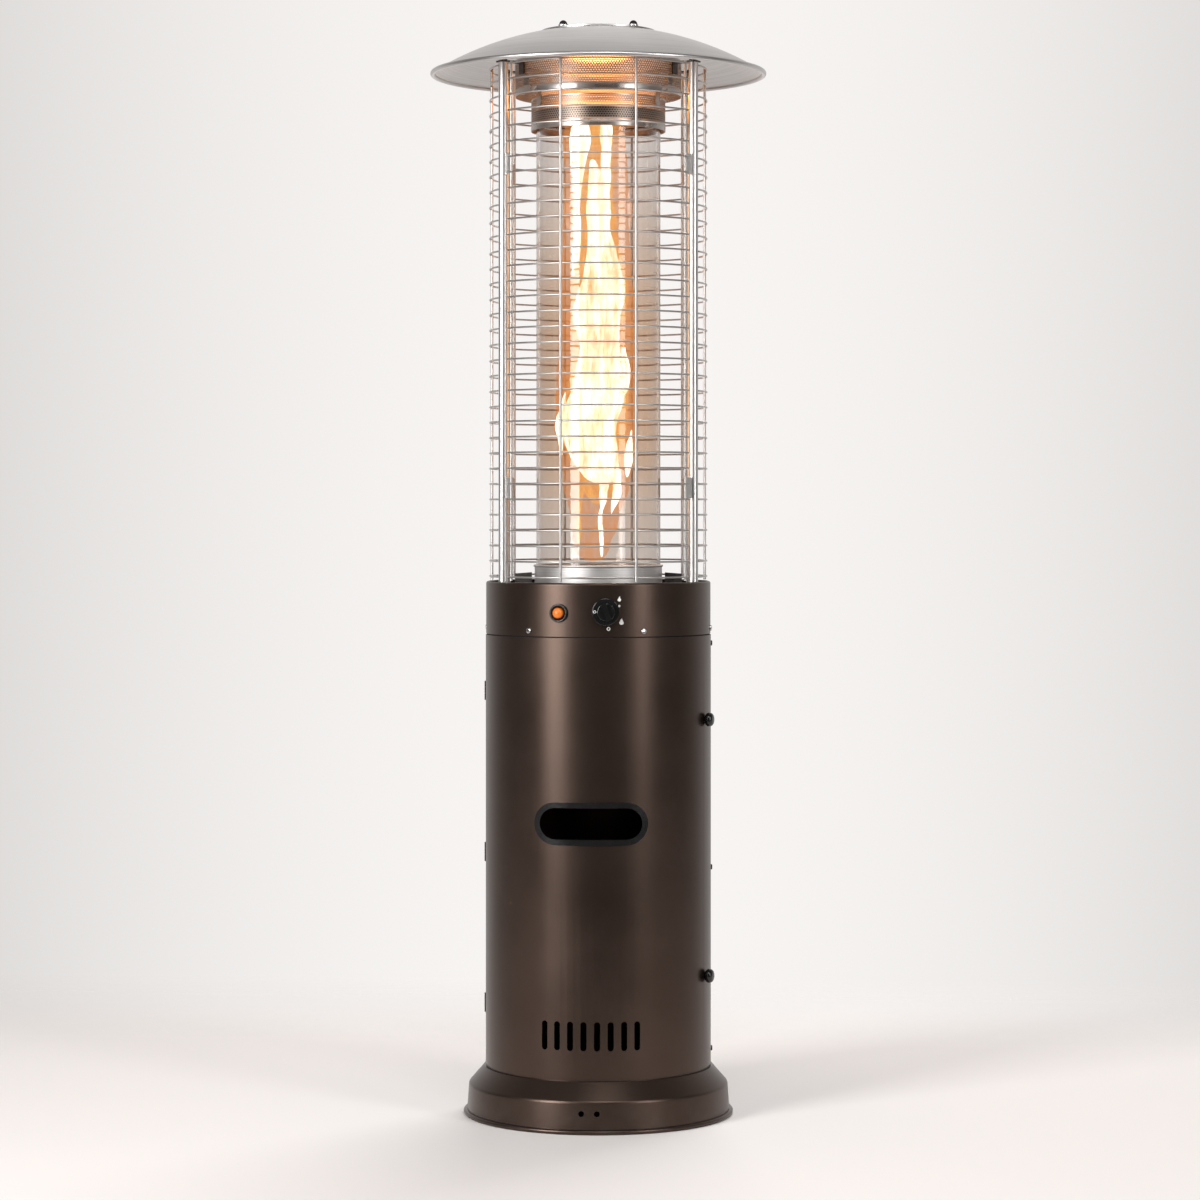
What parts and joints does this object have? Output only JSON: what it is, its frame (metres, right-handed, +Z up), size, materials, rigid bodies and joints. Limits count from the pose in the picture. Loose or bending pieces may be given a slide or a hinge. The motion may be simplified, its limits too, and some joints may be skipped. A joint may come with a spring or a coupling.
{
  "type": "patio heater",
  "caption": "Round free-standing gas patio heater with a flame in a glass tube, wire guard, domed shade, and a hinged front door over the gas cylinder bay.",
  "frame": {"origin": "on the ground, under the centre of the round base", "axes": "+Z up; -Y towards the front door, its handle and the control knob; +X to the right seen from the front"},
  "size_m": [0.5539, 0.554, 1.7928],
  "materials": {
    "bronze_paint": "satin dark bronze paint",
    "black_gloss": "glossy black plastic",
    "black_matte": "matte black plastic",
    "black_metal": "black coated metal",
    "stainless": "brushed stainless steel",
    "post_steel": "bright satin stainless tube",
    "wire_steel": "bright drawn wire",
    "dark_steel": "grey coated steel",
    "screw_steel": "bright zinc",
    "valve_aluminium": "die cast",
    "brass": "turned",
    "burner_iron": "heat darkened",
    "electrode_ceramic": "glazed",
    "gasket_fibre": "heat resistant fibre",
    "clear_glass": "clear heat resistant glass",
    "orange_button": "glossy orange plastic"
  },
  "bodies": {
    "heater": {"base_skirt": "bronze_paint", "floor_plate": "bronze_paint", "rear_shell": "bronze_paint", "control_panel_ring": "bronze_paint", "igniter_bezel": "black_gloss", "igniter_body": "black_matte", "tilt_switch": "black_matte", "hinge_leaves_body": "black_metal", "hinge_pins": "black_metal", "dome_nuts": "black_metal", "shade": "stainless", "shade_rim": "stainless", "shade_cap": "stainless", "burner_cup": "stainless", "lower_collar": "stainless", "upper_collar": "stainless", "collar_lid": "stainless", "glass_retainer": "stainless", "burner_tube": "stainless", "pilot_bracket": "stainless", "post_front_left": "post_steel", "post_front_right": "post_steel", "post_rear_left": "post_steel", "post_rear_right": "post_steel", "guard_front": "wire_steel", "guard_rear": "wire_steel", "guard_left": "wire_steel", "guard_right": "wire_steel", "tank_ring": "dark_steel", "latch_pegs": "dark_steel", "mid_hoop": "dark_steel", "deck_plate": "dark_steel", "valve_bracket": "dark_steel", "collar_straps": "dark_steel", "post_bolts": "dark_steel", "post_brackets": "dark_steel", "guard_clamps": "dark_steel", "shade_studs": "dark_steel", "shell_screws": "screw_steel", "panel_screws": "screw_steel", "gas_valve": "valve_aluminium", "gas_pipe": "valve_aluminium", "valve_inlet": "brass", "thermocouple": "brass", "burner_head": "burner_iron", "spark_electrode": "electrode_ceramic", "glass_gasket_lower": "gasket_fibre", "glass_gasket_upper": "gasket_fibre", "glass_tube": "clear_glass"},
    "door": {"front_door": "bronze_paint", "door_handle_bezel": "black_gloss", "hinge_leaves_door": "black_metal"},
    "latch_upper": {"latch_knob_upper": "black_gloss", "latch_cam_upper": "dark_steel"},
    "latch_lower": {"latch_knob_lower": "black_gloss", "latch_cam_lower": "dark_steel"},
    "plunger": {"valve_plunger": "brass"},
    "knob": {"valve_stem": "screw_steel", "control_knob": "black_gloss"},
    "igniter": {"igniter_button": "orange_button"}
  },
  "joints": [
    {"name": "door_swing", "type": "hinge", "parent": "heater", "child": "door", "pos_m": [-0.1854, 0, 0.43], "axis": [0, 0, -1], "range_deg": [0, 110]},
    {"name": "latch_upper_turn", "type": "hinge", "parent": "door", "child": "latch_upper", "pos_m": [0.17841, -0.05116, 0.651], "axis": [-0.9613, 0.2756, 0], "range_deg": [0, 90]},
    {"name": "latch_lower_turn", "type": "hinge", "parent": "door", "child": "latch_lower", "pos_m": [0.17841, -0.05116, 0.233], "axis": [-0.9613, 0.2756, 0], "range_deg": [0, 90]},
    {"name": "knob_push", "type": "slide", "parent": "heater", "child": "plunger", "axis": [-0.1305, 0.9914, 0], "range_m": [0, 0.004], "stiffness_N_per_m": 800, "springref_m": -0.002},
    {"name": "knob_turn", "type": "hinge", "parent": "plunger", "child": "knob", "pos_m": [0.02415, -0.18342, 0.83], "axis": [0.1305, -0.9914, 0], "range_deg": [-180, 0]},
    {"name": "igniter_push", "type": "slide", "parent": "heater", "child": "igniter", "axis": [0.2756, 0.9613, 0], "range_m": [0, 0.005], "stiffness_N_per_m": 600, "springref_m": -0.002}
  ]
}
